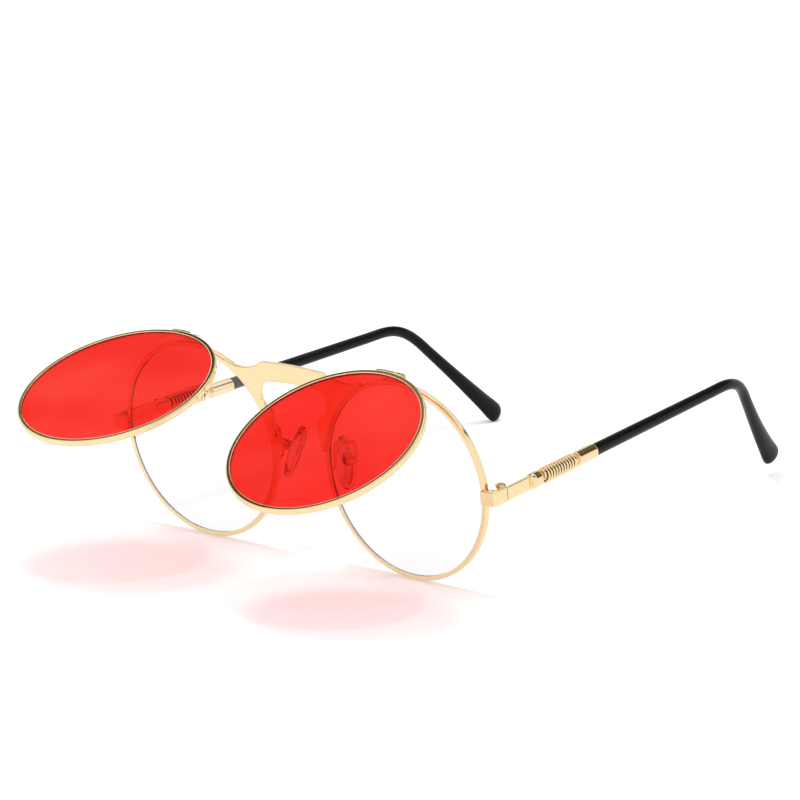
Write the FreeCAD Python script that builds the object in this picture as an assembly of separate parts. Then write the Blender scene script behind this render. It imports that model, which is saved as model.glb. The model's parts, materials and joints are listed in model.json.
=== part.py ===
import FreeCAD, Part
import math
import os
from FreeCAD import Placement, Rotation, Vector

# Round metal spectacles with tinted lenses that flip up on small hinges.
# Every piece is drawn in the frame of the front: X to the viewer's right, Y towards the
# wearer, Z up, with the origin midway between the lens centres in the mid-plane of the rims.
# The right-hand pieces are drawn and the left-hand ones are their mirror images.
# At the end the whole object is leaned until it stands on its rims and on a temple tip.

# Eyewires, the fixed wire rims
bridge_gap = 16.8
rim_inner_radius = 24.4
rim_wall = 1.2
rim_depth = 1.7
rim_edge_radius = 0.35
groove_width = 0.9
groove_depth = 0.45
rim_split = 0.3
solder_gap = 0.02

# Clear lenses
lens_edge = 1.6
lens_curve_radius = 260.0
lens_fit = 0.05

# Flip-up rims and their tinted lenses
flip_inner_radius = 24.5
flip_wall = 1.15
flip_depth = 1.7
flip_lens_edge = 1.4
flip_lens_curve_radius = 700.0
flip_pivot_rise = 2.2
flip_pivot_forward = 1.45
flip_standoff = 2.5
flip_angle_left = 74.9
flip_angle_right = 66.7

# Flip hinges on top of the rims
flip_knuckle_radius = 1.0
leaf_knuckle_width = 2.2
base_knuckle_width = 1.3
flip_knuckle_gap = 0.1
flip_strut_half = 0.55
saddle_width = 6.0
saddle_depth = 1.4
saddle_thickness = 0.6
flip_pin_radius = 0.45
flip_pin_fit = 0.04
flip_head_radius = 0.8
flip_head_height = 0.6

# Bridge, one stamped plate lapped on the front of both rims
bridge_thickness = 0.9
bridge_lap = 0.5
bridge_crown_below_rim = 0.3
bridge_crown_half_width = 10.0
bridge_crown_sag = 0.3
bridge_dip_below_rim = 3.0
bridge_dip_half_width = 16.5
bridge_wing_angle = 64.0
bridge_wing_width = 1.2
bridge_leg_angle = 7.5
bridge_leg_width = 0.8
bridge_waist_below_rim = 14.4
bridge_waist_width = 3.7
bridge_shoulder_below_rim = 12.7
bridge_shoulder_width = 2.4
keyhole_side_below_rim = 9.5
keyhole_side_width = 3.0
keyhole_corner_below_rim = 6.0
keyhole_corner_width = 8.0
keyhole_top_below_rim = 5.1

# Endpieces, bent strips that carry the temple hinges
endpiece_height = 3.6
endpiece_strip = 1.1
endpiece_reach = 3.75
endpiece_lap = 0.7
endpiece_rise = 0.35
endpiece_corner_radius = 0.6
endpiece_edge_round = 0.15
hinge_setback = 3.0
hinge_inset = 1.9

# Rim locks that close each eyewire on its lens
lock_height = 2.8
lock_behind_rim = 0.5
lock_gap = 0.05
lock_screw_radius = 0.5
lock_head_radius = 0.85
lock_head_height = 0.5

# Temple hinges
hinge_knuckle_radius = 1.15
hinge_axial_gap = 0.06
hinge_scallop_gap = 0.15
hinge_screw_radius = 0.55
hinge_screw_seat = 0.02
hinge_screw_fit = 0.05
hinge_head_radius = 1.35
hinge_head_height = 0.6
butt_gap = 0.2

# Slots and recesses in the screw heads
slot_width = 0.3
slot_depth = 0.3

# Temples
temple_drop_left = 3.5
temple_drop_right = 2.2
temple_toe_in = 1.0
temple_fold_left = 0.0
temple_fold_right = 3.9
bar_height = 3.4
bar_thickness = 1.2
bar_edge_round = 0.15
bar_flat_length = 10.2
socket_length = 3.4
socket_radius = 2.0
socket_shoulder = 1.1
socket_depth = 3.0
core_radius = 0.9
core_fit = 0.03
core_beyond_bend = 12.0
spring_wire = 0.64
spring_radius = 1.71
spring_pitch = 1.15
spring_turns = 11
spring_lead_rise = 1.3
spigot_length = 1.9
spigot_gap = 0.14
ferrule_radius = 1.88
ferrule_length = 7.9
ferrule_chamfer = 0.2

# Sleeves, the moulded temple tips
temple_reach = 105.6
tip_length = 43.2
tip_bend_down = 46.0
tip_bend_in = 19.2
tip_bend_radius = 16.0
sleeve_start_size = 3.25
sleeve_bend_height = 2.8
sleeve_bend_width = 3.0
sleeve_tip_height = 6.2
sleeve_tip_width = 3.1
tip_growth_power = 1.8
tip_sweep_out = 1.1
tip_sweep_up = 0.6
tip_sweep_power = 3.0
sleeve_dome = 2.6
sleeve_stations = 12
tip_stations = 9
dome_stations = (0.35, 0.65, 0.86, 0.97)

# Nose pads on wire arms
pad_arm_radius = 0.45
pad_arm_height = -1.8
pad_arm_back = 1.75
pad_arm_top = 4.9
pad_arm_stub = 1.3
pad_arm_lean = 0.5
pad_arm_bend_radius = 1.0
pad_pivot_out = 2.8
pad_pivot_back = 6.2
pad_pivot_height = -0.2
pad_splay = 18.0
pad_frontal_angle = 16.0
pad_tilt = 17.0
pad_box_half_height = 1.1
pad_box_cheek = 0.5
pad_box_wall = 0.5
pad_box_front = 0.8
pad_box_back = 1.4
pad_tab_thickness = 0.9
pad_tab_half_height = 0.7
pad_tab_tail = 0.6
pad_tab_side_gap = 0.1
pad_tab_length = 1.5
pad_plate_radius = 1.6
pad_plate_thickness = 0.4
pad_half_length = 6.9
pad_half_width = 3.0
pad_thickness = 2.0
pad_rounding = 0.8
pad_drop = 0.6
pad_screw_radius = 0.35
pad_screw_seat = 0.02
pad_screw_fit = 0.04
pad_head_radius = 0.6
pad_head_height = 0.35

X_AXIS = Vector(1, 0, 0)
Y_AXIS = Vector(0, 1, 0)
Z_AXIS = Vector(0, 0, 1)
ORIGIN = Vector(0, 0, 0)

# Sizes that follow from the ones above
rim_outer = rim_inner_radius + rim_wall
rim_back = rim_depth / 2
half_spacing = bridge_gap / 2 + rim_outer
flip_outer = flip_inner_radius + flip_wall
flip_pivot = Vector(half_spacing, -flip_pivot_forward, rim_outer + flip_pivot_rise)
flip_plane = flip_pivot_forward + flip_standoff
outer_face = half_spacing + rim_outer + endpiece_reach
temple_hinge = Vector(outer_face - hinge_inset, hinge_setback, endpiece_rise)
core_offset = hinge_inset - bar_thickness / 2
spring_start = bar_flat_length + socket_length
spring_length = spring_pitch * spring_turns + 2 * (spring_lead_rise + spring_wire)
spigot_radius = spring_radius - spring_wire / 2 - spigot_gap
ferrule_start = spring_start + spring_length
sleeve_start = ferrule_start + ferrule_length
hinge_knuckle_height = (endpiece_height - 2 * hinge_axial_gap) / 3
hinge_web = hinge_setback - rim_back - lock_behind_rim - lock_gap
knuckle_top = endpiece_height / 2
pad_pivot = Vector(half_spacing - rim_outer + pad_pivot_out, pad_pivot_back, pad_pivot_height)
pad_turn = (Rotation(X_AXIS, -pad_tilt) * Rotation(Y_AXIS, -pad_frontal_angle)
            * Rotation(Z_AXIS, -pad_splay))
pad_back = pad_tab_length + pad_plate_thickness


def box(x0, x1, y0, y1, z0, z1):
    return Part.makeBox(x1 - x0, y1 - y0, z1 - z0, Vector(x0, y0, z0))


def line(a, b):
    return Part.LineSegment(a, b).toShape()


def arc(a, middle, b):
    return Part.Arc(a, middle, b).toShape()


def revolved(edges):
    """A section drawn with radius along X and depth along Y, turned about Y."""
    return Part.Face(Part.Wire(edges)).revolve(ORIGIN, Y_AXIS, 360)


def moved(shape, offset):
    copy = shape.copy()
    copy.translate(offset)
    return copy


def turned(shape, point, axis, degrees):
    copy = shape.copy()
    copy.rotate(point, axis, degrees)
    return copy


def mirrored(shape):
    return shape.mirror(ORIGIN, X_AXIS)


def placed(shape, point, rotation):
    copy = shape.copy()
    copy.Placement = Placement(point, rotation)
    return copy


def screw(shank_radius, shank_length, head_radius, head_height, slots):
    """A headed screw: the shank runs down from the origin and the head stands above it."""
    body = Part.makeCylinder(shank_radius, shank_length, Vector(0, 0, -shank_length))
    body = body.fuse(Part.makeCylinder(head_radius, head_height)).removeSplitter()
    for number in range(slots):
        slot = box(-head_radius, head_radius, -slot_width / 2, slot_width / 2,
                   head_height - slot_depth, head_height)
        body = body.cut(turned(slot, ORIGIN, Z_AXIS, 180 * number / slots))
    return body


# Rims and lenses

def wire_ring(inner, wall, depth):
    """A ring of rim wire with rounded outer corners and a lens groove inside."""
    outer = inner + wall
    half = depth / 2
    edge = rim_edge_radius
    bow = edge * (1 - math.sqrt(0.5))
    groove = groove_width / 2
    section = [
        line(Vector(inner, -half), Vector(outer - edge, -half)),
        arc(Vector(outer - edge, -half), Vector(outer - bow, bow - half), Vector(outer, edge - half)),
        line(Vector(outer, edge - half), Vector(outer, half - edge)),
        arc(Vector(outer, half - edge), Vector(outer - bow, half - bow), Vector(outer - edge, half)),
        line(Vector(outer - edge, half), Vector(inner, half)),
        line(Vector(inner, half), Vector(inner, groove)),
        line(Vector(inner, groove), Vector(inner + groove_depth, 0)),
        line(Vector(inner + groove_depth, 0), Vector(inner, -groove)),
        line(Vector(inner, -groove), Vector(inner, -half)),
    ]
    return revolved(section)


def lens(ring_inner, edge_thickness, curve_radius):
    """A meniscus lens whose bevelled edge sits in the groove of its ring."""
    radius = ring_inner - lens_fit
    half = edge_thickness / 2
    bevel_tip = ring_inner + groove_depth - 2 * lens_fit
    bevel_half = groove_width / 2 * (groove_depth - lens_fit) / groove_depth
    sag = curve_radius - math.sqrt(curve_radius ** 2 - radius ** 2)
    half_way_sag = curve_radius - math.sqrt(curve_radius ** 2 - (radius / 2) ** 2)
    section = [
        arc(Vector(0, -half - sag), Vector(radius / 2, half_way_sag - half - sag), Vector(radius, -half)),
        line(Vector(radius, -half), Vector(radius, -bevel_half)),
        line(Vector(radius, -bevel_half), Vector(bevel_tip, 0)),
        line(Vector(bevel_tip, 0), Vector(radius, bevel_half)),
        line(Vector(radius, bevel_half), Vector(radius, half)),
        arc(Vector(radius, half), Vector(radius / 2, half + half_way_sag - sag), Vector(0, half - sag)),
        line(Vector(0, half - sag), Vector(0, -half - sag)),
    ]
    return revolved(section)


def rim():
    ring = wire_ring(rim_inner_radius, rim_wall, rim_depth)
    slit = box(rim_inner_radius - rim_wall, rim_outer + rim_wall, -rim_depth, rim_depth,
               endpiece_rise - rim_split / 2, endpiece_rise + rim_split / 2)
    return moved(ring.cut(slit), Vector(half_spacing, 0, 0))


def clear_lens():
    return moved(lens(rim_inner_radius, lens_edge, lens_curve_radius), Vector(half_spacing, 0, 0))


# Bridge

def rim_point(radius, angle):
    """A point beside the right rim, by its distance from the lens centre and its angle."""
    turn = math.radians(angle)
    return Vector(half_spacing - radius * math.cos(turn), 0, radius * math.sin(turn))


def strip_point(below_rim, width):
    """A point some way below the rim's top, a strip's width inside the right rim's nasal edge."""
    height = rim_outer - below_rim
    edge = half_spacing - math.sqrt(rim_outer ** 2 - height ** 2)
    return Vector(edge - width, 0, height)


def bridge_plate():
    lap_radius = rim_outer - bridge_lap
    crown = rim_outer - bridge_crown_below_rim
    crown_end = Vector(bridge_crown_half_width, 0, crown - bridge_crown_sag)
    dip = Vector(bridge_dip_half_width, 0, rim_outer - bridge_dip_below_rim)
    wing_top = rim_point(lap_radius + bridge_wing_width, bridge_wing_angle)
    wing_foot = rim_point(lap_radius, bridge_wing_angle)
    leg_middle = rim_point(lap_radius, (bridge_wing_angle + bridge_leg_angle) / 2)
    leg_foot = rim_point(lap_radius, bridge_leg_angle)
    leg_tip = rim_point(lap_radius + bridge_leg_width, bridge_leg_angle)
    waist = strip_point(bridge_waist_below_rim, bridge_waist_width)
    shoulder = strip_point(bridge_shoulder_below_rim, bridge_shoulder_width)
    side = strip_point(keyhole_side_below_rim, keyhole_side_width)
    corner = strip_point(keyhole_corner_below_rim, keyhole_corner_width)
    half = [
        arc(crown_end, dip, wing_top),
        line(wing_top, wing_foot),
        arc(wing_foot, leg_middle, leg_foot),
        line(leg_foot, leg_tip),
        line(leg_tip, waist),
        line(waist, shoulder),
        arc(shoulder, side, corner),
    ]
    other = [mirrored(edge) for edge in half]
    mirror_crown = Vector(-crown_end.x, 0, crown_end.z)
    mirror_corner = Vector(-corner.x, 0, corner.z)
    top = arc(mirror_crown, Vector(0, 0, crown), crown_end)
    keyhole = arc(corner, Vector(0, 0, rim_outer - keyhole_top_below_rim), mirror_corner)
    outline = Part.Wire(Part.__sortEdges__(half + other + [top, keyhole]))
    plate = Part.Face(outline).extrude(Vector(0, bridge_thickness, 0))
    return moved(plate, Vector(0, -rim_back - bridge_thickness, 0))


# Endpieces and rim locks

def hinge_barrel(radius, low, high):
    """A barrel round the temple hinge's axis, by its heights over the hinge's middle."""
    return Part.makeCylinder(radius, high - low, temple_hinge + Vector(0, 0, low))


def endpiece():
    low = temple_hinge.z - endpiece_height / 2
    high = temple_hinge.z + endpiece_height / 2
    inner_face = outer_face - endpiece_strip
    front = -rim_back - endpiece_strip
    start = half_spacing + rim_outer - endpiece_lap
    strip = box(start, outer_face, front, -rim_back, low, high)
    strip = strip.fuse(box(inner_face, outer_face, front, temple_hinge.y, low, high)).removeSplitter()
    corner = [edge for edge in strip.Edges
              if edge.BoundBox.XMin > outer_face - solder_gap and edge.BoundBox.YMax < front + solder_gap
              and edge.BoundBox.ZLength > endpiece_height / 2]
    strip = strip.makeFillet(endpiece_corner_radius, corner)
    ridges = [edge for edge in strip.Edges
              if edge.BoundBox.ZLength < solder_gap and edge.BoundBox.YLength + edge.BoundBox.XLength > endpiece_corner_radius
              and (edge.BoundBox.XMax > outer_face - solder_gap or edge.BoundBox.YMin < front + solder_gap)
              and not edge.BoundBox.YMin > rim_back]
    strip = strip.makeFillet(endpiece_edge_round, ridges)
    middle = hinge_knuckle_height / 2 + hinge_axial_gap
    scallop = hinge_barrel(hinge_knuckle_radius + hinge_scallop_gap, -middle, middle)
    strip = strip.cut(scallop)
    for bottom in (middle, -knuckle_top):
        top = bottom + hinge_knuckle_height
        barrel = hinge_barrel(hinge_knuckle_radius, bottom, top)
        web = box(temple_hinge.x, inner_face + endpiece_strip / 2, temple_hinge.y - hinge_web,
                  temple_hinge.y, temple_hinge.z + bottom, temple_hinge.z + top)
        strip = strip.fuse(barrel).fuse(web)
    bore = hinge_barrel(hinge_screw_radius + hinge_screw_seat, -endpiece_height, endpiece_height)
    return strip.cut(bore).removeSplitter()


def lock_centre():
    middle = (half_spacing + rim_outer + outer_face - endpiece_strip) / 2
    return Vector(middle, lock_behind_rim / 2, temple_hinge.z)


def rim_lock():
    """The two half blocks on the ends of the split rim, drawn together by a screw."""
    low = temple_hinge.z - lock_height / 2
    high = temple_hinge.z + lock_height / 2
    block = box(half_spacing + rim_inner_radius, outer_face - endpiece_strip - lock_gap,
                -rim_back, rim_back + lock_behind_rim, low, high)
    round_rim = Part.makeCylinder(rim_outer + solder_gap, 4 * rim_depth,
                                  Vector(half_spacing, -2 * rim_depth, 0), Y_AXIS)
    parting = box(half_spacing, outer_face, -rim_depth, rim_depth + lock_behind_rim,
                  temple_hinge.z - rim_split / 2, temple_hinge.z + rim_split / 2)
    centre = lock_centre()
    bore = Part.makeCylinder(lock_screw_radius + hinge_screw_seat, lock_height,
                             Vector(centre.x, centre.y, low))
    return block.cut(round_rim).cut(parting).cut(bore)


def lock_screw():
    fastener = screw(lock_screw_radius, lock_height, lock_head_radius, lock_head_height, 1)
    under = lock_centre() - Vector(0, 0, lock_height / 2)
    return placed(fastener, under, Rotation(X_AXIS, 180))


def hinge_screw():
    fastener = screw(hinge_screw_radius, 2 * knuckle_top, hinge_head_radius, hinge_head_height, 2)
    return moved(fastener, temple_hinge + Vector(0, 0, knuckle_top))


# Flip hinges and flip-up fronts

def saddle(radius, depth_place):
    """A foot that lies on top of a ring, with its solder gap."""
    inner = radius + solder_gap
    low = Vector(0, depth_place - saddle_depth / 2, 0)
    ring = Part.makeCylinder(inner + saddle_thickness, saddle_depth, low, Y_AXIS)
    ring = ring.cut(Part.makeCylinder(inner, saddle_depth, low, Y_AXIS))
    window = box(-saddle_width / 2, saddle_width / 2, depth_place - saddle_depth, depth_place + saddle_depth,
                 radius / 2, 2 * radius)
    return moved(ring.common(window), Vector(half_spacing, 0, 0))


def strut(foot, x0, x1):
    """A flat arm from a saddle to the flip pivot, between two places across it."""
    run = Vector(0, flip_pivot.y, flip_pivot.z) - foot
    side = Vector(0, -run.z, run.y).normalize() * flip_strut_half
    top = Vector(0, flip_pivot.y, flip_pivot.z)
    corners = [foot + side, foot - side, top - side, top + side, foot + side]
    plate = Part.Face(Part.makePolygon(corners)).extrude(Vector(x1 - x0, 0, 0))
    return moved(plate, Vector(half_spacing + x0, 0, 0))


def flip_barrel(radius, x0, x1):
    return Part.makeCylinder(radius, x1 - x0, flip_pivot + Vector(x0, 0, 0), X_AXIS)


inner_knuckle = leaf_knuckle_width / 2
outer_knuckle = inner_knuckle + flip_knuckle_gap + base_knuckle_width


def flip_base():
    body = saddle(rim_outer, 0)
    foot = Vector(0, 0, rim_outer + saddle_thickness / 2)
    spans = ((inner_knuckle + flip_knuckle_gap, outer_knuckle), (-outer_knuckle, -inner_knuckle - flip_knuckle_gap))
    for x0, x1 in spans:
        body = body.fuse(strut(foot, x0, x1)).fuse(flip_barrel(flip_knuckle_radius, x0, x1))
    bore = flip_barrel(flip_pin_radius + hinge_screw_seat, -2 * outer_knuckle, 2 * outer_knuckle)
    clear_rim = Part.makeCylinder(rim_outer + solder_gap, rim_depth, Vector(half_spacing, -rim_back, 0), Y_AXIS)
    return body.cut(bore).cut(clear_rim).removeSplitter()


def flip_pin():
    fastener = screw(flip_pin_radius, 2 * outer_knuckle, flip_head_radius, flip_head_height, 1)
    return placed(fastener, flip_pivot + Vector(outer_knuckle, 0, 0), Rotation(Z_AXIS, X_AXIS))


def flip_leaf():
    foot = Vector(0, -flip_plane, flip_outer + saddle_thickness / 2)
    body = saddle(flip_outer, -flip_plane)
    body = body.fuse(strut(foot, -inner_knuckle, inner_knuckle))
    body = body.fuse(flip_barrel(flip_knuckle_radius, -inner_knuckle, inner_knuckle))
    bore = flip_barrel(flip_pin_radius + flip_pin_fit, -inner_knuckle, inner_knuckle)
    clear_rim = Part.makeCylinder(flip_outer + solder_gap, flip_depth,
                                  Vector(half_spacing, -flip_plane - flip_depth / 2, 0), Y_AXIS)
    return body.cut(bore).cut(clear_rim).removeSplitter()


def flip_rim():
    ring = wire_ring(flip_inner_radius, flip_wall, flip_depth)
    return moved(ring, Vector(half_spacing, -flip_plane, 0))


def flip_lens():
    disc = lens(flip_inner_radius, flip_lens_edge, flip_lens_curve_radius)
    return moved(disc, Vector(half_spacing, -flip_plane, 0))


def flipped(shape, angle):
    """Swing a closed flip-up piece forwards and up about its pivot."""
    return turned(shape, flip_pivot, X_AXIS, -angle)


# Temples, drawn straight back from the hinge with the hinge's axis at the origin

def along(y0, y1, radius):
    """A round bar on the temple's core line."""
    return Part.makeCylinder(radius, y1 - y0, Vector(core_offset, y0, 0), Y_AXIS)


def temple_bar(drop):
    half = bar_height / 2
    flat = box(hinge_inset - bar_thickness, hinge_inset, -bar_height, bar_flat_length + socket_length / 2,
               -half, half)
    flat = flat.makeFillet(bar_edge_round, [edge for edge in flat.Edges if edge.BoundBox.YLength > bar_height])
    barrel = along(bar_flat_length, spring_start, socket_radius)
    front = [edge for edge in barrel.Edges if edge.BoundBox.YMax < bar_flat_length + solder_gap]
    spigot_end = spring_start + spigot_length
    body = flat.fuse(barrel.makeFillet(socket_shoulder, front))
    body = body.fuse(along(spring_start, spigot_end, spigot_radius))
    body = body.cut(along(spring_start - socket_depth, spigot_end, core_radius + core_fit))
    body = turned(body, ORIGIN, X_AXIS, -drop)
    body = body.cut(box(-bar_height, bar_height, -2 * bar_height, butt_gap, -bar_height, bar_height))
    scallop = Part.makeCylinder(hinge_knuckle_radius + hinge_scallop_gap, 2 * bar_height,
                                Vector(0, 0, -bar_height))
    body = body.cut(scallop)
    middle = hinge_knuckle_height / 2
    knuckle = Part.makeCylinder(hinge_knuckle_radius, hinge_knuckle_height, Vector(0, 0, -middle))
    web = box(0, hinge_inset - bar_thickness / 2, butt_gap, hinge_web, -middle, middle)
    bore = Part.makeCylinder(hinge_screw_radius + hinge_screw_fit, 2 * bar_height, Vector(0, 0, -bar_height))
    return body.fuse(knuckle).fuse(web).cut(bore).removeSplitter()


def tip_direction():
    down = math.radians(tip_bend_down)
    inward = math.radians(tip_bend_in)
    return Vector(-math.sin(inward) * math.cos(down), math.cos(inward) * math.cos(down), -math.sin(down))


tip_run = tip_direction()
tip_turn = math.acos(tip_run.y)
tip_tangent = tip_bend_radius * math.tan(tip_turn / 2)
bend_normal = Vector(tip_run.x, 0, tip_run.z).normalize()
bend_side = Y_AXIS.cross(bend_normal)
bend_start = temple_reach - tip_tangent
bend_arc = tip_bend_radius * tip_turn
bend_end = bend_start + bend_arc
tip_end = bend_end + tip_length - tip_tangent
dome_start = tip_end - sleeve_dome


def temple_station(distance):
    """A place on the temple's core line and the directions along it and across its bend."""
    turn = min(max((distance - bend_start) / tip_bend_radius, 0), tip_turn)
    ahead = Y_AXIS * math.cos(turn) + bend_normal * math.sin(turn)
    across = bend_normal * math.cos(turn) - Y_AXIS * math.sin(turn)
    place = Vector(core_offset, min(distance, bend_start), 0)
    place += Y_AXIS * (tip_bend_radius * math.sin(turn))
    place += bend_normal * (tip_bend_radius * (1 - math.cos(turn)))
    place += ahead * max(distance - bend_end, 0)
    return place, ahead, across


def core_wire(radius, start, end):
    """A round wire along the temple, round its bend and some way down the tip."""
    first = temple_station(start)[0]
    bend_in = temple_station(bend_start)[0]
    bend_middle = temple_station(bend_start + bend_arc / 2)[0]
    bend_out = temple_station(bend_end)[0]
    path = Part.Wire([line(first, bend_in), arc(bend_in, bend_middle, bend_out),
                      line(bend_out, temple_station(end)[0])])
    section = Part.Wire(Part.makeCircle(radius, first, Y_AXIS))
    return path.makePipeShell([section], True, False)


core_end = bend_end + core_beyond_bend


def temple_core():
    return core_wire(core_radius, spring_start - socket_depth, core_end)


def helix_point(turns, advance):
    angle = 2 * math.pi * turns
    return Vector(core_offset + spring_radius * math.cos(angle), advance, spring_radius * math.sin(angle))


def helix_tangent(turns):
    angle = 2 * math.pi * turns
    rise = spring_pitch / (2 * math.pi)
    return Vector(-spring_radius * math.sin(angle), rise, spring_radius * math.cos(angle)).normalize()


def corner_arc(a, corner, b):
    """The arc that leaves a towards corner and reaches b from it, at equal distances."""
    chord_middle = (a + b) * 0.5
    weight = (chord_middle - a).Length / (corner - a).Length
    return Part.Arc(a, (chord_middle + corner * weight) * (1 / (1 + weight)), b)


def biarc(a, a_way, b, b_way):
    """Two arcs that join two points along the given directions."""
    gap = b - a
    both = a_way + b_way
    spread = 2 * (1 - a_way.dot(b_way))
    reach = gap.dot(both)
    size = (math.sqrt(reach ** 2 + spread * gap.dot(gap)) - reach) / spread
    first = a + a_way * size
    second = b - b_way * size
    joint = (first + second) * 0.5
    return [corner_arc(a, first, joint), corner_arc(joint, second, b)]


def spring_path():
    """The wire's middle line: a straight end, the turns by half turns, a straight end."""
    start = spring_start + spring_wire
    turning = start + spring_lead_rise
    finish = turning + spring_pitch * spring_turns
    stop = finish + spring_lead_rise
    last = 0.25 + spring_turns
    path = [Part.LineSegment(helix_point(0, spring_start), helix_point(0, start))]
    path += biarc(helix_point(0, start), Y_AXIS, helix_point(0.25, turning), helix_tangent(0.25))
    for step in range(2 * spring_turns):
        here = 0.25 + step / 2
        there = here + 0.5
        path += biarc(helix_point(here, turning + spring_pitch * step / 2), helix_tangent(here),
                      helix_point(there, turning + spring_pitch * (step + 1) / 2), helix_tangent(there))
    path += biarc(helix_point(last, finish), helix_tangent(last), helix_point(last + 0.25, stop), Y_AXIS)
    path.append(Part.LineSegment(helix_point(last + 0.25, stop), helix_point(last + 0.25, stop + spring_wire)))
    return path


def least_gap(path):
    """The clear space between the wire and itself, a third of a turn or more apart."""
    points = []
    travelled = []
    length = 0.0
    for curve in path:
        samples = curve.discretize(Number=9)
        for a, b in zip(samples, samples[1:]):
            points.append(a)
            travelled.append(length)
            length += (b - a).Length
    apart = 2 * math.pi * spring_radius / 3
    nearest = min((points[j] - points[i]).Length for i in range(len(points))
                  for j in range(i + 1, len(points)) if travelled[j] - travelled[i] > apart)
    return nearest - spring_wire


def temple_spring():
    path = spring_path()
    print("spring: least gap to itself", round(least_gap(path), 3), "mm")
    wire = Part.Wire([curve.toShape() for curve in path])
    section = Part.Wire(Part.makeCircle(spring_wire / 2, helix_point(0, spring_start), Y_AXIS))
    return wire.makePipeShell([section], True, False)


def ferrule():
    tube = along(ferrule_start, sleeve_start, ferrule_radius)
    rounds = [edge for edge in tube.Edges if edge.Closed]
    tube = tube.makeChamfer(ferrule_chamfer, rounds)
    spigot_start = ferrule_start - spigot_length
    tube = tube.fuse(along(spigot_start, ferrule_start, spigot_radius))
    return tube.cut(along(spigot_start, sleeve_start, core_radius + core_fit)).removeSplitter()


def tip_share(distance):
    """How far along the straight tip a place lies, from 0 at the bend to 1 at the end."""
    return max((distance - bend_end) / (tip_end - bend_end), 0)


def sleeve_size(distance):
    """The sleeve's height and width: tapering to the bend, then broadening to a paddle."""
    share = min((distance - sleeve_start) / (bend_start - sleeve_start), 1)
    growth = tip_share(distance) ** tip_growth_power
    height = sleeve_start_size + (sleeve_bend_height - sleeve_start_size) * share
    width = sleeve_start_size + (sleeve_bend_width - sleeve_start_size) * share
    height += (sleeve_tip_height - sleeve_bend_height) * growth
    width += (sleeve_tip_width - sleeve_bend_width) * growth
    return height, width


def sleeve_section(distance, scale):
    """An oval across the sleeve, whose middle sweeps out and up from the core line at the tip."""
    place, ahead, across = temple_station(distance)
    height, width = sleeve_size(distance)
    side = ahead.cross(across)
    sweep = tip_share(distance) ** tip_sweep_power
    place -= side * (tip_sweep_out * sweep) + across * (tip_sweep_up * sweep)
    tall = across * (height * scale / 2)
    wide = side * (width * scale / 2)
    if height >= width:
        oval = Part.Ellipse(place + tall, place + wide, place)
    else:
        oval = Part.Ellipse(place + wide, place + tall, place)
    return Part.Wire(oval.toShape())


def steps(start, end, count):
    return [start + (end - start) * step / count for step in range(count)]


def temple_sleeve():
    places = steps(sleeve_start, bend_start, sleeve_stations)
    places += steps(bend_start, bend_end, 3)
    places += steps(bend_end, dome_start, tip_stations) + [dome_start]
    sections = [sleeve_section(distance, 1) for distance in places]
    for share in dome_stations:
        sections.append(sleeve_section(dome_start + sleeve_dome * share, math.sqrt(1 - share ** 2)))
    body = Part.makeLoft(sections, True, False)
    return body.cut(core_wire(core_radius + core_fit, sleeve_start, core_end + core_fit))


def on_temple(shape, drop, fold):
    """Set a piece of the right temple at its downward angle and its angle about the hinge."""
    lowered = turned(shape, ORIGIN, X_AXIS, -drop)
    return moved(turned(lowered, ORIGIN, Z_AXIS, temple_toe_in + fold), temple_hinge)


# Nose pads, drawn with the screw's axis along Y and the contact face towards -X

def rounded_path(points, radius):
    """Straight runs through the points, joined by tangent arcs."""
    edges = []
    start = points[0]
    for before, corner, after in zip(points, points[1:], points[2:]):
        arriving = (corner - before).normalize()
        leaving = (after - corner).normalize()
        back = radius * math.tan(math.acos(arriving.dot(leaving)) / 2)
        first = corner - arriving * back
        second = corner + leaving * back
        edges.append(line(start, first))
        edges.append(corner_arc(first, corner, second).toShape())
        start = second
    edges.append(line(start, points[-1]))
    return Part.Wire(edges)


def pad_place(x, y, z):
    return pad_pivot + pad_turn.multVec(Vector(x, y, z))


def pad_arm():
    """A gooseneck of wire from the back of the rim to the back of the pad box."""
    middle_radius = rim_inner_radius + rim_wall / 2
    foot_x = half_spacing - math.sqrt(middle_radius ** 2 - pad_arm_height ** 2)
    foot = Vector(foot_x, rim_back, pad_arm_height)
    behind = foot + Vector(0, pad_arm_back, 0)
    neck = Vector(behind.x + pad_arm_lean, behind.y, pad_arm_top)
    seat = pad_place(pad_box_back, 0, 0)
    stub = pad_place(pad_box_back + pad_arm_stub, 0, 0)
    over = Vector(stub.x, stub.y, pad_arm_top)
    path = rounded_path([foot, behind, neck, over, stub, seat], pad_arm_bend_radius)
    section = Part.Wire(Part.makeCircle(pad_arm_radius, foot, Y_AXIS))
    return path.makePipeShell([section], True, False)


def pad_box():
    inner = pad_tab_thickness / 2 + pad_tab_side_gap
    outer = inner + pad_box_cheek
    body = box(-pad_box_front, pad_box_back, -outer, outer, -pad_box_half_height, pad_box_half_height)
    body = body.cut(box(-pad_box_back, pad_box_back - pad_box_wall, -inner, inner,
                        -2 * pad_box_half_height, 2 * pad_box_half_height))
    bore = Part.makeCylinder(pad_screw_radius + pad_screw_seat, 4 * outer, Vector(0, -2 * outer, 0), Y_AXIS)
    return placed(body.cut(bore), pad_pivot, pad_turn)


def pad_screw():
    outer = pad_tab_thickness / 2 + pad_tab_side_gap + pad_box_cheek
    fastener = screw(pad_screw_radius, 2 * outer, pad_head_radius, pad_head_height, 1)
    facing = pad_turn * Rotation(Z_AXIS, -Y_AXIS)
    return placed(fastener, pad_place(0, -outer, 0), facing)


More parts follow.
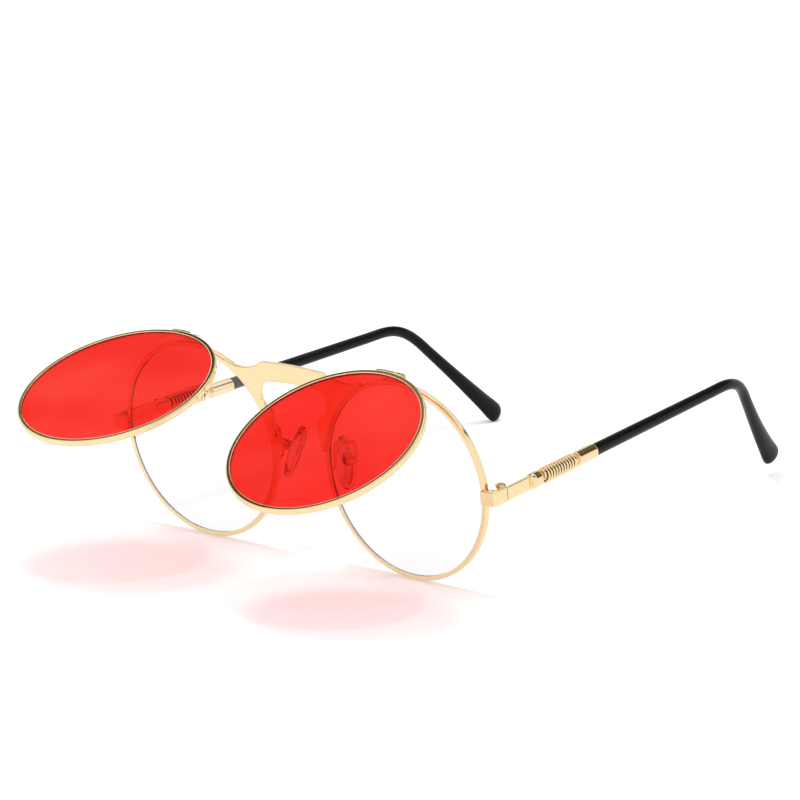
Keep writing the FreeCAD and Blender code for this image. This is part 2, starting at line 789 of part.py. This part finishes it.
def pad_stem():
    half = pad_tab_thickness / 2
    tab = box(-pad_tab_length, pad_tab_tail, -half, half, -pad_tab_half_height, pad_tab_half_height)
    plate = Part.makeCylinder(pad_plate_radius, pad_plate_thickness, Vector(-pad_back, 0, 0), X_AXIS)
    bore = Part.makeCylinder(pad_screw_radius + pad_screw_fit, 4 * half, Vector(0, -2 * half, 0), Y_AXIS)
    return placed(tab.fuse(plate).cut(bore).removeSplitter(), pad_pivot, pad_turn)


def nose_pad():
    centre = Vector(-pad_back, 0, -pad_drop)
    oval = Part.Ellipse(centre + Z_AXIS * pad_half_length, centre + Y_AXIS * pad_half_width, centre)
    body = Part.Face(Part.Wire(oval.toShape())).extrude(Vector(-pad_thickness, 0, 0))
    rounds = [edge for edge in body.Edges if edge.Closed]
    return placed(body.makeFillet(pad_rounding, rounds), pad_pivot, pad_turn)


# Assembly: each node is one piece, or a pair of like fasteners

def both_sides(name, shape):
    return {name + "_left": mirrored(shape), name + "_right": shape}


def pair(shape):
    return Part.makeCompound([mirrored(shape), shape])


def assembled():
    nodes = {}
    nodes.update(both_sides("rim", rim()))
    nodes.update(both_sides("clear_lens", clear_lens()))
    nodes["bridge_plate"] = bridge_plate()
    nodes.update(both_sides("endpiece", endpiece()))
    nodes.update(both_sides("rim_lock", rim_lock()))
    nodes["rim_lock_screws"] = pair(lock_screw())
    nodes["temple_hinge_screws"] = pair(hinge_screw())
    nodes.update(both_sides("flip_hinge_base", flip_base()))
    nodes["flip_hinge_pins"] = pair(flip_pin())
    nodes.update(both_sides("pad_arm", pad_arm()))
    nodes.update(both_sides("pad_box", pad_box()))
    nodes["pad_screws"] = pair(pad_screw())
    nodes.update(both_sides("pad_stem", pad_stem()))
    nodes.update(both_sides("nose_pad", nose_pad()))
    for name, shape in (("flip_rim", flip_rim()), ("flip_lens", flip_lens()), ("flip_leaf", flip_leaf())):
        nodes[name + "_left"] = mirrored(flipped(shape, flip_angle_left))
        nodes[name + "_right"] = flipped(shape, flip_angle_right)
    pieces = {"temple_core": temple_core(), "temple_spring": temple_spring(), "ferrule": ferrule(),
              "temple_sleeve": temple_sleeve()}
    for name, shape in pieces.items():
        nodes[name + "_left"] = mirrored(on_temple(shape, temple_drop_left, temple_fold_left))
        nodes[name + "_right"] = on_temple(shape, temple_drop_right, temple_fold_right)
    nodes["temple_bar_left"] = mirrored(on_temple(temple_bar(temple_drop_left), 0, temple_fold_left))
    nodes["temple_bar_right"] = on_temple(temple_bar(temple_drop_right), 0, temple_fold_right)
    return nodes


def rim_depth_below(lean):
    """How far the rims reach below the lens centres when the front leans forwards."""
    round_centre = (rim_outer - rim_edge_radius) * math.cos(lean) + (rim_back - rim_edge_radius) * math.sin(lean)
    return round_centre + rim_edge_radius


def standing_lean(sleeves):
    """The forward lean, in radians, at which rims and the lower temple tip touch one plane."""
    points = [point for sleeve in sleeves for point in sleeve.tessellate(0.05)[0]]
    low, high = 0.0, math.radians(30)
    for step in range(40):
        lean = (low + high) / 2
        tip = min(point.y * math.sin(lean) + point.z * math.cos(lean) for point in points)
        if tip + rim_depth_below(lean) < 0:
            low = lean
        else:
            high = lean
    return lean


nodes = assembled()
lean = standing_lean([nodes["temple_sleeve_left"], nodes["temple_sleeve_right"]])
stance = Placement(Vector(0, 0, rim_depth_below(lean)), Rotation(X_AXIS, math.degrees(lean)))
for shape in nodes.values():
    shape.Placement = stance * shape.Placement
reach = Part.makeCompound(list(nodes.values())).optimalBoundingBox(False, False)
centring = Vector(0, -(reach.YMin + reach.YMax) / 2, 0)
stance = Placement(centring, Rotation()) * stance
os.makedirs("parts", exist_ok=True)
for name, shape in nodes.items():
    shape.translate(centring)
    shape.exportStep("parts/" + name + ".step")
print("nodes", len(nodes), "lean", round(math.degrees(lean), 3), "depth", round(reach.YLength, 2))
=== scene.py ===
# %% [markdown]
# Round gold spectacles with red lenses that flip up, standing open on a white table.
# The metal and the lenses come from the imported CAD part. This lesson gives each of them the
# finish of the real one, remakes the soft nose pads, and lights a small white studio.

import json
import math

import bmesh
import bpy
from mathutils import Matrix, Vector


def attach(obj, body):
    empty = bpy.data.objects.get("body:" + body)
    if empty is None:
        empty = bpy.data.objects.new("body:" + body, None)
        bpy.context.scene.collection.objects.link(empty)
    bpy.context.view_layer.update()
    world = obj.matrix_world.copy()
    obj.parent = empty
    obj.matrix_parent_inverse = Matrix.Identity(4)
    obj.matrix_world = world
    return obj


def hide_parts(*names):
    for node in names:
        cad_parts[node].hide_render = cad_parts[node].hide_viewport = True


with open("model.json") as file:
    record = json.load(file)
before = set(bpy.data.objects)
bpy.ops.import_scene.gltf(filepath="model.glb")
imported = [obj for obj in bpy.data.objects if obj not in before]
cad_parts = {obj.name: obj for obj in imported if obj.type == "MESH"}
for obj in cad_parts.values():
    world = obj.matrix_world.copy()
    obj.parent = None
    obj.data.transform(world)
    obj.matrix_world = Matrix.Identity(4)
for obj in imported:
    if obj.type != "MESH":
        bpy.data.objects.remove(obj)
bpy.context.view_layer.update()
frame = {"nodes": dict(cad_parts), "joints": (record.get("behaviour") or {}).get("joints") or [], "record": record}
scene = bpy.context.scene
record = frame["record"]
slot_of = {part["node"]: part["material_slot"] for part in record["subparts"]}

# %% [markdown]
# Colours are written as a painter would read them off a chart, in sRGB hex. Shaders work in
# linear light, so one function turns the first into the second. A second function adds a node,
# sets its sockets and links it, which keeps each material to a few lines.

# %% Colour and node helpers
MM = 0.001


def linear(hex_colour):
    """An sRGB hex colour as linear RGBA."""
    values = [int(hex_colour[i:i + 2], 16) / 255 for i in (1, 3, 5)]
    return tuple(v / 12.92 if v <= 0.04045 else ((v + 0.055) / 1.055) ** 2.4 for v in values) + (1.0,)


def add(tree, kind, values=None, links=None, **settings):
    """A node with its settings, its socket values and what is linked into it."""
    node = tree.nodes.new(kind)
    for name, value in settings.items():
        setattr(node, name, value)
    for name, value in (values or {}).items():
        node.inputs[name].default_value = value
    for name, source in (links or {}).items():
        tree.links.new(source, node.inputs[name])
    return node


def new_material(name):
    """An empty node material and its tree."""
    material = bpy.data.materials.new(name)
    material.use_nodes = True
    material.node_tree.nodes.clear()
    return material, material.node_tree


def finish_material(tree, shader):
    """The shader straight into the material's output."""
    add(tree, "ShaderNodeOutputMaterial", links={"Surface": shader.outputs[0]})


# %% [markdown]
# No real surface is quite even. Three more functions give every finish its small differences:
# a noise of a known size in millimetres, fixed to the object, a pair of close colours that it
# mixes, and a pair of roughnesses.

# %% Helpers for uneven surfaces
def mottle(tree, size, detail=2.0):
    """Noise with patches about this size, in metres."""
    place = add(tree, "ShaderNodeTexCoord")
    noise = add(tree, "ShaderNodeTexNoise", {"Scale": 1 / size, "Detail": detail},
                {"Vector": place.outputs["Object"]})
    return noise.outputs["Fac"]


def two_tone(tree, noise, low, high, start=0.0, end=1.0):
    """One colour where the noise is below start, the other where it is above end."""
    ramp = add(tree, "ShaderNodeValToRGB", links={"Fac": noise})
    dark, light = ramp.color_ramp.elements
    dark.position, dark.color = start, linear(low)
    light.position, light.color = end, linear(high)
    return ramp.outputs["Color"]


def uneven_gloss(tree, noise, low, high):
    """A roughness that the noise moves between two values."""
    span = add(tree, "ShaderNodeMapRange", {"To Min": low, "To Max": high}, {"Value": noise})
    return span.outputs["Result"]


# %% [markdown]
# The frame is a copper-nickel alloy, buffed and then plated with a thin pale gold. Buffing leaves
# faint cloudy differences in gloss a few millimetres across, so a noise steers the roughness
# between two low values and the colour between two close golds. Buffing also rounds every sharp
# edge by a few tenths of a millimetre, which a bevel node gives to the light alone.

# %% Pale gold plating
def pale_gold_plating():
    material, tree = new_material("pale_gold_plating")
    cloud = mottle(tree, 4.0 * MM)
    edge = add(tree, "ShaderNodeBevel", {"Radius": 0.4 * MM}, samples=8)
    shader = add(tree, "ShaderNodeBsdfPrincipled", {"Metallic": 1.0},
                 {"Base Color": two_tone(tree, cloud, "#F7DFAF", "#F9E3B4", 0.3, 0.7),
                  "Roughness": uneven_gloss(tree, cloud, 0.06, 0.12),
                  "Normal": edge.outputs["Normal"]})
    finish_material(tree, shader)
    return material


gold = pale_gold_plating()
print("made", gold.name)

# %% [markdown]
# The miniature screws are turned from steel and washed with the same pale gold. A lathe leaves
# fine rings, far too fine to see, so the noise here is drawn a little coarser than the real grain.
# Inside each coil spring runs the temple's core wire. Its near-black colour is painted shade: it makes the gaps
# between the coils look black, as the shade inside the coil would.

# %% Gold-washed steel, and the core wire with painted shade
def steel_finish(name, patch, low, high, smooth, rough):
    material, tree = new_material(name)
    grain = mottle(tree, patch)
    shader = add(tree, "ShaderNodeBsdfPrincipled", {"Metallic": 1.0},
                 {"Base Color": two_tone(tree, grain, low, high),
                  "Roughness": uneven_gloss(tree, grain, smooth, rough)})
    finish_material(tree, shader)
    return material


steel = steel_finish("gold_washed_steel", 0.15 * MM, "#D9BE8C", "#E8D2A4", smooth=0.2, rough=0.34)
# The core wire is real, but its near-black colours are painted shade for the gaps between the coils.
core_wire_gap_shade = steel_finish("core_wire_painted_gap_shade", 0.6 * MM, "#17120C", "#241C12", smooth=0.35, rough=0.5)
print("made", steel.name, "and", core_wire_gap_shade.name)

# %% [markdown]
# Both kinds of lens are cast and polished resin. The fixed ones are clear. The flip-up ones are
# dyed red right through, so what is behind them shows, only redder. Dye sinks in a little
# unevenly, which a large soft noise gives. A coating holds back most of the reflection.
#
# A polished lens bends light evenly right up to its middle, where the mesh has a fan of thin
# triangles with wrong smoothed normals. A lens is so flat that its smoothed and true normals
# differ by well under a degree. Where they differ by more, the true normal is used.

# %% Lens resin
SAME_WAY = 0.99993  # cosine of 0.7 degrees
CLOUD = 20 * MM


def lens_normal(tree):
    """The smoothed normal, or the face's own where the smoothed one is wrong."""
    form = add(tree, "ShaderNodeNewGeometry")
    smoothed, true = form.outputs["Normal"], form.outputs["True Normal"]
    match = add(tree, "ShaderNodeVectorMath", links={0: smoothed, 1: true}, operation="DOT_PRODUCT")
    wrong = add(tree, "ShaderNodeMath", {1: SAME_WAY}, {0: match.outputs["Value"]}, operation="LESS_THAN")
    # A vector mix has its factor in socket 0, its two vectors in 4 and 5, and gives output 1.
    facing = add(tree, "ShaderNodeMix", links={0: wrong.outputs[0], 4: smoothed, 5: true},
                 data_type="VECTOR")
    return facing.outputs[1]


def lens_resin(name, low, high, reflection):
    material, tree = new_material(name)
    cloud = mottle(tree, CLOUD, detail=1.0)
    shader = add(tree, "ShaderNodeBsdfPrincipled",
                 {"Roughness": 0.0, "IOR": 1.5, "Transmission Weight": 1.0,
                  "Specular IOR Level": reflection},
                 {"Base Color": two_tone(tree, cloud, low, high, 0.35, 0.65),
                  "Normal": lens_normal(tree)})
    finish_material(tree, shader)
    return material


clear_resin = lens_resin("clear_lens_resin", "#FBFDFD", "#FFFFFF", reflection=0.0)
red_resin = lens_resin("red_lens_resin", "#FF322C", "#FF3731", reflection=0.04)
print("made", clear_resin.name, "and", red_resin.name)

# %% [markdown]
# The sleeves on the temples are black acetate, tumbled until they shine softly. Under a lamp
# the surface is never quite even, so a small noise lifts the roughness in places.

# %% Black acetate
def black_acetate():
    material, tree = new_material("tumbled_black_acetate")
    cloud = mottle(tree, 2.0 * MM, detail=3.0)
    shader = add(tree, "ShaderNodeBsdfPrincipled", {"IOR": 1.48, "Specular IOR Level": 0.15},
                 {"Base Color": two_tone(tree, cloud, "#0A0A09", "#0F0F0E"),
                  "Roughness": uneven_gloss(tree, cloud, 0.18, 0.24)})
    finish_material(tree, shader)
    return material


acetate = black_acetate()
print("made", acetate.name)

# %% [markdown]
# The nose pads are soft clear silicone. It lets light through but blurs it, and its moulded skin
# is a little matt.

# %% Clear silicone
def clear_silicone():
    material, tree = new_material("moulded_clear_silicone")
    skin = mottle(tree, 0.8 * MM)
    shader = add(tree, "ShaderNodeBsdfPrincipled",
                 {"IOR": 1.41, "Transmission Weight": 0.97, "Specular IOR Level": 0.3},
                 {"Base Color": two_tone(tree, skin, "#F8F9F7", "#FFFFFF"),
                  "Roughness": uneven_gloss(tree, skin, 0.03, 0.1)})
    finish_material(tree, shader)
    return material


silicone = clear_silicone()
print("made", silicone.name)

# %% [markdown]
# The record says which slot each CAD node takes its finish from, so a small table from slot to
# material dresses the whole frame.

# %% Dress the CAD nodes
finishes = {"gold": gold, "steel": steel, "core_wire": core_wire_gap_shade, "clear_lens": clear_resin,
            "tinted_lens": red_resin, "sleeve": acetate, "pad_silicone": silicone}
for name, node in frame["nodes"].items():
    node.data.materials.clear()
    node.data.materials.append(finishes[slot_of[name]])
print("dressed", len(frame["nodes"]), "nodes")

# %% [markdown]
# A nose pad is a small oval cushion of silicone, rounder than the plain solid that stands for it.
# It starts as a disc, is extruded to its thickness and gets a wide bevel. Its contact face is
# then inset three times and raised a little each time, which crowns it.

# %% Shape of a nose pad
PAD_HALF_LENGTH = 6.8 * MM
PAD_HALF_WIDTH = 2.95 * MM
PAD_THICKNESS = 1.8 * MM
PAD_EDGE = 0.8 * MM
PAD_CROWN = 0.18 * MM
CROWN_RING = 0.7 * MM
CROWN_STEPS = (0.55, 0.3, 0.15)
PAD_SIDES = 64
EDGE_STEPS = 6
SAME_HEIGHT = 1e-7
FACING_UP = 0.99  # least upward part of a normal


def pad_cushion():
    """A crowned cushion on the XY plane, with its contact face up."""
    bm = bmesh.new()
    bmesh.ops.create_circle(bm, cap_ends=True, segments=PAD_SIDES, radius=1.0)
    bmesh.ops.scale(bm, vec=(PAD_HALF_WIDTH, PAD_HALF_LENGTH, 1.0), verts=bm.verts)
    grown = bmesh.ops.extrude_face_region(bm, geom=bm.faces[:])
    top = [v for v in grown["geom"] if isinstance(v, bmesh.types.BMVert)]
    bmesh.ops.translate(bm, vec=(0, 0, PAD_THICKNESS), verts=top)
    bmesh.ops.recalc_face_normals(bm, faces=bm.faces[:])
    rims = [e for e in bm.edges if abs(e.verts[0].co.z - e.verts[1].co.z) < SAME_HEIGHT]
    bmesh.ops.bevel(bm, geom=rims, offset=PAD_EDGE, segments=EDGE_STEPS, profile=0.5,
                    affect="EDGES", material=-1)
    contact = [f for f in bm.faces
               if f.normal.z > FACING_UP and f.calc_center_median().z > PAD_THICKNESS * 0.9]
    for step in CROWN_STEPS:
        bmesh.ops.inset_region(bm, faces=contact, thickness=CROWN_RING, depth=0.0)
        raised = {v for f in contact for v in f.verts}
        bmesh.ops.translate(bm, vec=(0, 0, PAD_CROWN * step), verts=list(raised))
    return bm


print("nose pads are", round(2 * PAD_HALF_LENGTH / MM, 1), "mm long")

# %% [markdown]
# The record says how each pad sits. Its contact face is a mount with a place and a direction,
# and the joint's axis runs across the pad, along the screw that it rocks on.

# %% Nose pads
def nose_pad(side):
    face = next(m for m in record["mounts"] if m["name"] == "nose_" + side)
    rock = next(j for j in frame["joints"] if j["name"] == "pad_" + side + "_rock")
    out = Vector(face["axis"]).normalized()
    across = Vector(rock["axis"]).normalized()
    up = out.cross(across)
    turn = Matrix((across, up, out)).transposed()
    if turn.determinant() < 0:
        turn = Matrix((-across, up, out)).transposed()
    base = Vector(face["pos_m"]) - out * (PAD_THICKNESS + PAD_CROWN)
    bm = pad_cushion()
    bmesh.ops.transform(bm, matrix=Matrix.Translation(base) @ turn.to_4x4(), verts=bm.verts)
    bmesh.ops.recalc_face_normals(bm, faces=bm.faces[:])
    mesh = bpy.data.meshes.new("silicone_pad_" + side)
    bm.to_mesh(mesh)
    bm.free()
    for polygon in mesh.polygons:
        polygon.use_smooth = True
    pad = bpy.data.objects.new("silicone_pad_" + side, mesh)
    scene.collection.objects.link(pad)
    mesh.materials.append(silicone)
    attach(pad, "pad_" + side)
    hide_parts("nose_pad_" + side)
    return pad


pads = [nose_pad(side) for side in ("left", "right")]
print("made", len(pads), "nose pads")

# %% [markdown]
# The studio is a white table under a white sky. Rays that are seen, from the camera, by a mirror
# or through a lens, find both of them white: the table glows a little for these rays, and it
# keeps the soft shadows below the frame. Polished gold sees a table that is half evenly lit, so
# it doesn't mirror all of its own shadow.

# %% White table and sky
TABLE_HALF_SIDE = 6.0
TABLE_GLOW = 0.23
EVEN_LIGHT = 0.93
EVEN_SHARE = 0.5
SKY_LIGHT = 0.82
WHITE = (1, 1, 1, 1)


def seen_rays(tree, path):
    """One for a ray that is seen: from the camera, by a mirror or through a lens."""
    straight, mirrored = path.outputs["Is Camera Ray"], path.outputs["Is Glossy Ray"]
    seen = add(tree, "ShaderNodeMath", links={0: straight, 1: mirrored}, operation="MAXIMUM")
    return add(tree, "ShaderNodeMath", links={0: seen.outputs[0], 1: path.outputs["Is Transmission Ray"]},
               operation="MAXIMUM")


def white_table_paper():
    material, tree = new_material("white_table_paper")
    tone = two_tone(tree, mottle(tree, 6 * MM), "#F7F7F7", "#FAFAFA")
    path = add(tree, "ShaderNodeLightPath")
    seen = seen_rays(tree, path)
    glow = add(tree, "ShaderNodeMath", {1: TABLE_GLOW}, {0: seen.outputs[0]}, operation="MULTIPLY")
    lit = add(tree, "ShaderNodeBsdfPrincipled",
              {"Roughness": 0.9, "Specular IOR Level": 0.1, "Emission Color": WHITE},
              {"Base Color": tone, "Emission Strength": glow.outputs[0]})
    even = add(tree, "ShaderNodeEmission", {"Strength": EVEN_LIGHT}, {"Color": tone})
    share = add(tree, "ShaderNodeMath", {1: EVEN_SHARE}, {0: path.outputs["Is Glossy Ray"]},
                operation="MULTIPLY")
    shader = add(tree, "ShaderNodeMixShader",
                 links={0: share.outputs[0], 1: lit.outputs[0], 2: even.outputs[0]})
    finish_material(tree, shader)
    return material


def white_table():
    bm = bmesh.new()
    bmesh.ops.create_grid(bm, x_segments=1, y_segments=1, size=TABLE_HALF_SIDE)
    mesh = bpy.data.meshes.new("table")
    bm.to_mesh(mesh)
    bm.free()
    mesh.materials.append(white_table_paper())
    table = bpy.data.objects.new("table", mesh)
    scene.collection.objects.link(table)


def white_sky():
    world = bpy.data.worlds.new("white_studio")
    scene.world = world
    world.use_nodes = True
    tree = world.node_tree
    tree.nodes.clear()
    seen = seen_rays(tree, add(tree, "ShaderNodeLightPath"))
    strength = add(tree, "ShaderNodeMapRange", {"To Min": SKY_LIGHT, "To Max": 1.0},
                   {"Value": seen.outputs[0]})
    sky = add(tree, "ShaderNodeBackground", {"Color": WHITE}, {"Strength": strength.outputs["Result"]})
    add(tree, "ShaderNodeOutputWorld", links={"Surface": sky.outputs[0]})


white_table()
white_sky()
print("made the table and the sky")

# %% [markdown]
# Two lamps draw the shadows. A small one hangs close over the red lenses and throws their round
# pink shadows almost straight down. The other is far off and high, near the plane of the fixed
# rims, so that each rim's shadow is only a thin streak on the table. Neither is mirrored in the
# gold or the lenses.

# %% Lamps
def soft_lamp(name, place, aim, size, power):
    data = bpy.data.lights.new(name, "AREA")
    data.shape = "DISK"
    data.size = size
    data.energy = power
    lamp = bpy.data.objects.new(name, data)
    scene.collection.objects.link(lamp)
    lamp.location = place
    lamp.rotation_euler = (Vector(aim) - Vector(place)).to_track_quat("-Z", "Y").to_euler()
    lamp.visible_camera = False
    lamp.visible_glossy = False


soft_lamp("overhead_lamp", place=(-0.075, -0.05, 0.5), aim=(-0.075, -0.05, 0), size=0.13, power=0.6)
soft_lamp("front_lamp", place=(0.19, -0.175, 1.3), aim=(0, 0, 0), size=0.06, power=1.4)
print("hung two lamps")

# %% [markdown]
# Polished gold shows what stands round it. In a plain white room it would look flat, so dark
# flags of uneven cloth stand round the frame, seen only in reflections. Two behind it and one
# above draw dark lines along its edges. The one beside it is what the red lenses mirror, and it
# keeps their red deep.

# %% Dark flags
def flag_cloth():
    material, tree = new_material("black_flag_cloth")
    nap = mottle(tree, 90 * MM, detail=1.0)
    shader = add(tree, "ShaderNodeBsdfPrincipled", {"Roughness": 1.0, "Specular IOR Level": 0.0},
                 {"Base Color": two_tone(tree, nap, "#16130E", "#958A72", 0.38, 0.66)})
    finish_material(tree, shader)
    return material


cloth = flag_cloth()


def flag(name, corners):
    """A flat card through four corners, seen only by reflections."""
    bm = bmesh.new()
    bm.faces.new([bm.verts.new(corner) for corner in corners])
    mesh = bpy.data.meshes.new(name)
    bm.to_mesh(mesh)
    bm.free()
    mesh.materials.append(cloth)
    card = bpy.data.objects.new(name, mesh)
    scene.collection.objects.link(card)
    card.visible_camera = False
    card.visible_diffuse = False
    card.visible_transmission = False
    card.visible_shadow = False


BEHIND = 1.2
ABOVE = 1.0
corners_of = {
    "back_flag": [(-0.75, BEHIND, 0.55), (1.0, BEHIND, 0.55), (1.0, BEHIND, 1.25), (-0.75, BEHIND, 1.25)],
    "low_flag": [(-1.25, BEHIND, 0.25), (-0.8, BEHIND, 0.25), (-0.8, BEHIND, 0.55), (-1.25, BEHIND, 0.55)],
    "side_flag": [(-0.9, -0.1, 0.75), (-0.9, 0.75, 0.75), (-0.55, 0.75, 1.05), (-0.55, -0.1, 1.05)],
    "top_flag": [(0.25, -0.6, ABOVE), (0.85, -0.6, ABOVE), (0.85, 0.35, ABOVE), (0.25, 0.35, ABOVE)],
}
for name, corners in corners_of.items():
    flag(name, corners)
print("stood", len(corners_of), "dark flags")

# %% [markdown]
# The camera stands to the right of the front, a little above it, with a long lens. Its angles,
# its distance and its focal length in pixels were solved from the outlines of the rims and temples.

# %% Camera
AZIMUTH, ELEVATION, ROLL = (math.radians(angle) for angle in (40.863, 13.960, -0.950))
DISTANCE = 1.41055
TARGET = Vector((-0.030361, 0.030, 0.022034))
FOCAL_PIXELS = 5357.272
PICTURE_PIXELS = 800
SENSOR_MM = 36.0

along = math.cos(ELEVATION)
back = Vector((math.sin(AZIMUTH) * along, -math.cos(AZIMUTH) * along, math.sin(ELEVATION)))
right = Vector((math.cos(AZIMUTH), math.sin(AZIMUTH), 0))
up = back.cross(right)
image_right = right * math.cos(ROLL) + up * math.sin(ROLL)
image_up = up * math.cos(ROLL) - right * math.sin(ROLL)
data = bpy.data.cameras.new("camera")
data.sensor_width = SENSOR_MM
data.lens = FOCAL_PIXELS * SENSOR_MM / PICTURE_PIXELS
data.clip_start = 0.01
camera = bpy.data.objects.new("camera", data)
scene.collection.objects.link(camera)
camera.matrix_world = (Matrix.Translation(TARGET + back * DISTANCE)
                       @ Matrix((image_right, image_up, back)).transposed().to_4x4())
scene.camera = camera
scene.view_settings.view_transform = "Standard"
print("camera", [round(c, 3) for c in camera.location])
